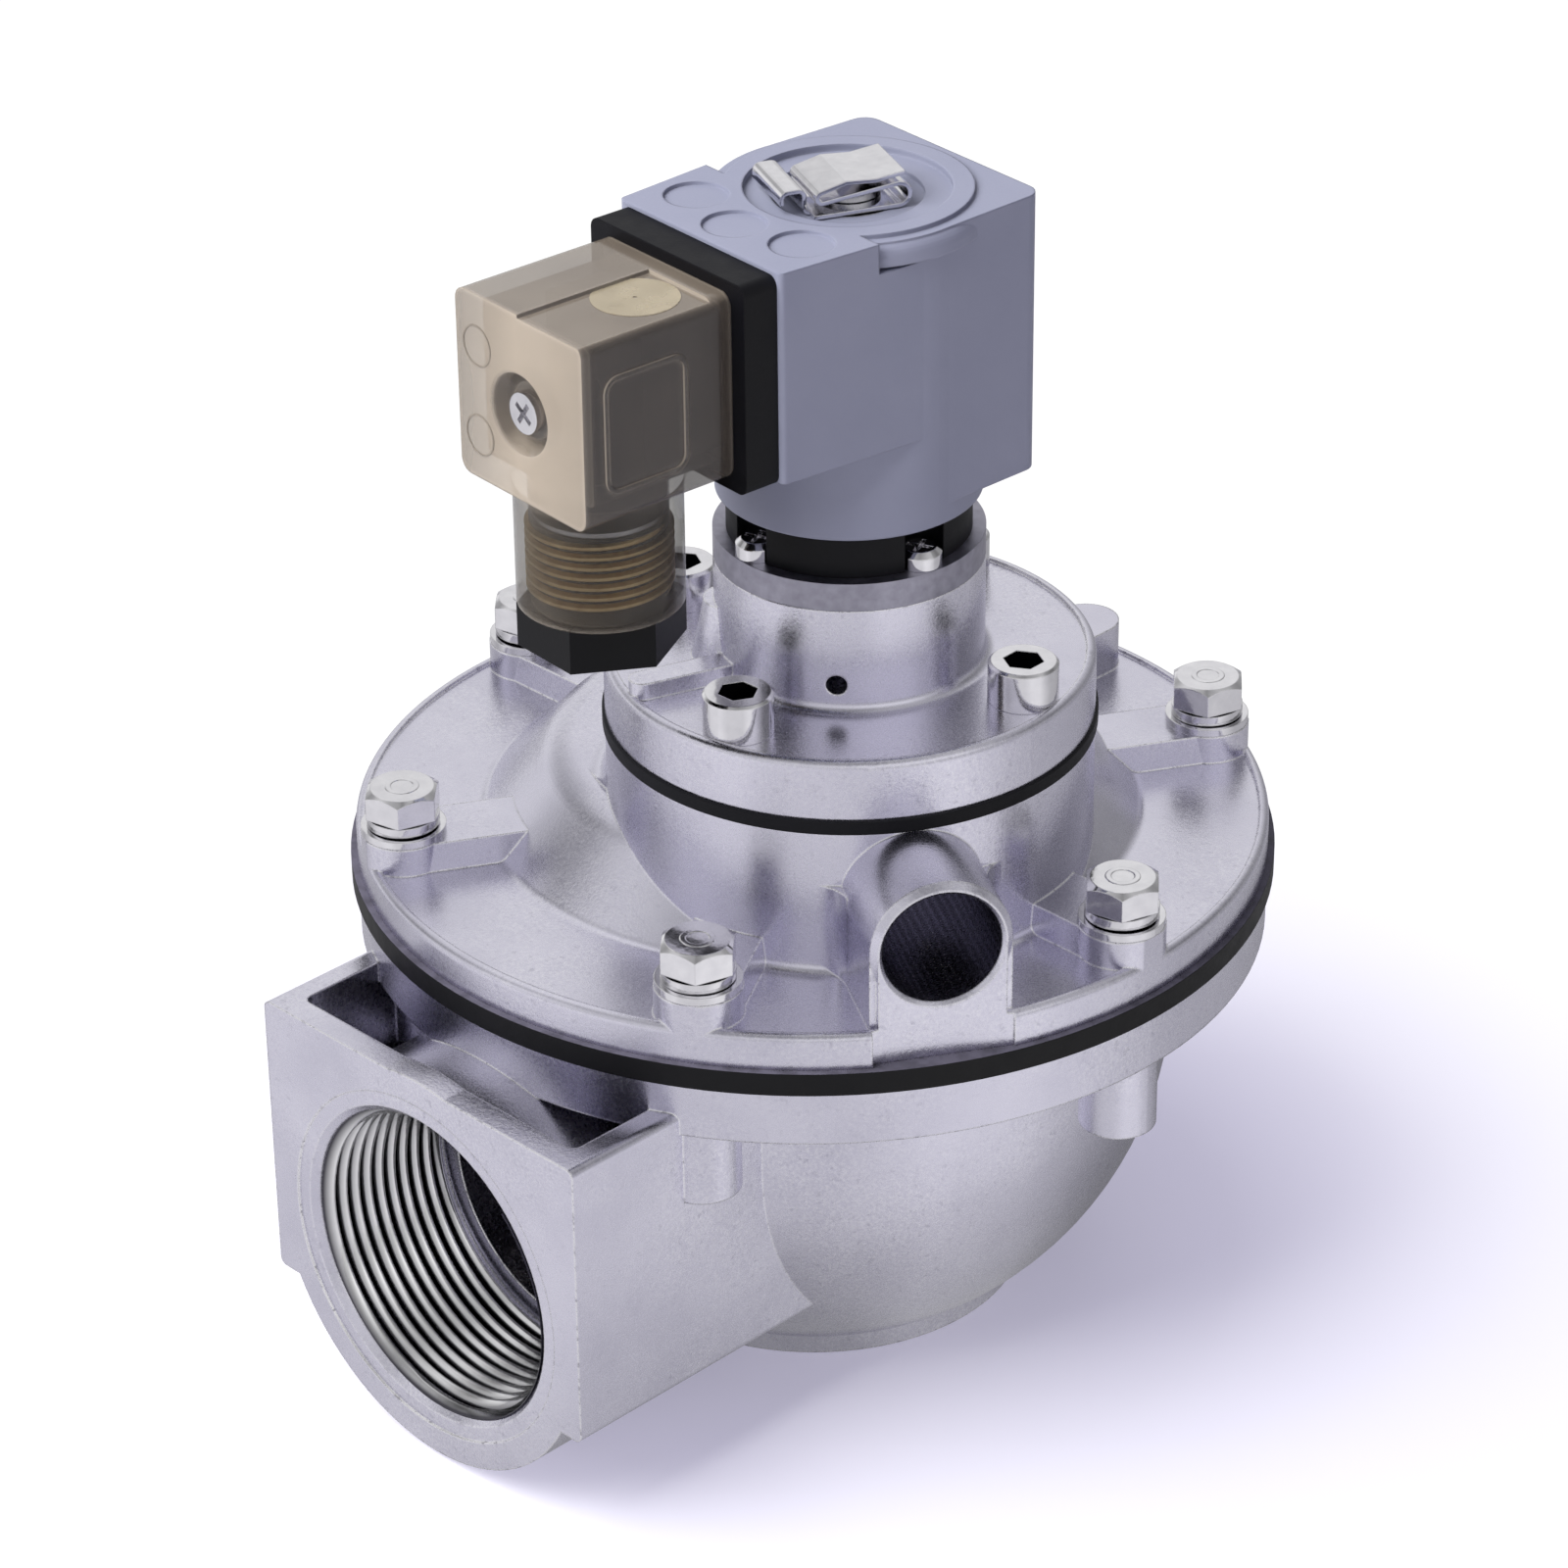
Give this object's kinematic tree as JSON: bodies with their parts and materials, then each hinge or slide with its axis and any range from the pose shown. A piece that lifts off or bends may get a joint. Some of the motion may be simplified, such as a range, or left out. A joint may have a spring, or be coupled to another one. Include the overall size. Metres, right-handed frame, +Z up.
{
  "type": "right angle diaphragm valve",
  "caption": "Solenoid piloted right angle pulse valve for dust collectors: side inlet, bottom outlet, main and pilot diaphragms, side exhaust and a plug-in coil that swivels.",
  "frame": {"origin": "centre of the outlet mouth, on the plane of the outlet face", "axes": "+Z up along the main diaphragm's axis, away from the outlet; -Y out of the inlet; +X to the right seen from the inlet"},
  "size_m": [0.136, 0.147, 0.1842],
  "materials": {
    "cast_aluminium": "die cast, fine tumbled grain, bright trimmed edges",
    "black_rubber": "smooth moulded rubber",
    "plated_steel": "bright nickel plating",
    "stainless_steel": "turned stainless steel",
    "spring_steel": "drawn wire",
    "soft_iron": "turned magnetic stainless steel",
    "copper": "enamelled winding wire and bare copper ring",
    "brass": "turned and pressed brass",
    "pale_nylon": "moulded nylon",
    "grey_coil_plastic": "moulded resin with a light satin texture",
    "smoky_clear_plastic": "translucent smoky polycarbonate, matt",
    "black_plastic": "moulded nylon"
  },
  "bodies": {
    "root": {"valve_body": "cast_aluminium", "main_diaphragm": "black_rubber", "main_spring": "spring_steel", "bonnet": "cast_aluminium", "flange_bolts": "plated_steel", "flange_spring_washers": "plated_steel", "flange_washers": "plated_steel", "pilot_diaphragm": "black_rubber", "pilot_spring": "spring_steel", "pilot_cap": "cast_aluminium", "cap_screws": "plated_steel", "orifice_insert": "brass", "tube_o_ring": "black_rubber", "retainer_ring": "cast_aluminium", "ring_screws": "plated_steel", "coil_base_seal": "black_rubber", "armature_tube": "stainless_steel", "fixed_core": "soft_iron", "shading_ring": "copper", "plunger_spring": "spring_steel", "retaining_clip": "plated_steel"},
    "main_valve": {"main_plate": "stainless_steel", "main_seat_pad": "pale_nylon", "main_centre_bolt": "stainless_steel", "main_centre_nut": "stainless_steel"},
    "pilot_valve": {"pilot_plate": "stainless_steel", "pilot_seat_disc": "pale_nylon", "pilot_rivet": "stainless_steel"},
    "plunger_body": {"plunger": "soft_iron", "plunger_seat": "black_rubber"},
    "coil_body": {"coil_housing": "grey_coil_plastic", "coil_winding": "copper", "coil_bobbin": "pale_nylon", "yoke_plates": "soft_iron", "terminal_blades": "brass", "connector_gasket": "black_rubber", "plug_housing": "smoky_clear_plastic", "terminal_block": "black_plastic", "plug_screw": "plated_steel", "gland_washer": "plated_steel", "gland_seal": "black_rubber", "gland_nut": "black_plastic"}
  },
  "joints": [
    {"name": "main_lift", "type": "slide", "parent": "root", "child": "main_valve", "axis": [0, 0, 1], "range_m": [0, 0.008], "stiffness_N_per_m": 1500, "springref_m": -0.004, "deforming": ["main_spring", "main_diaphragm"]},
    {"name": "pilot_lift", "type": "slide", "parent": "root", "child": "pilot_valve", "axis": [0, 0, 1], "range_m": [0, 0.0025], "stiffness_N_per_m": 600, "springref_m": -0.003, "deforming": ["pilot_spring", "pilot_diaphragm"]},
    {"name": "plunger_lift", "type": "slide", "parent": "root", "child": "plunger_body", "axis": [0, 0, 1], "range_m": [0, 0.0018], "stiffness_N_per_m": 400, "springref_m": -0.003, "deforming": ["plunger_spring"]},
    {"name": "coil_turn", "type": "hinge", "parent": "root", "child": "coil_body", "pos_m": [0.01407, -0.00626, 0.1359], "axis": [0, 0, 1], "continuous": true}
  ]
}
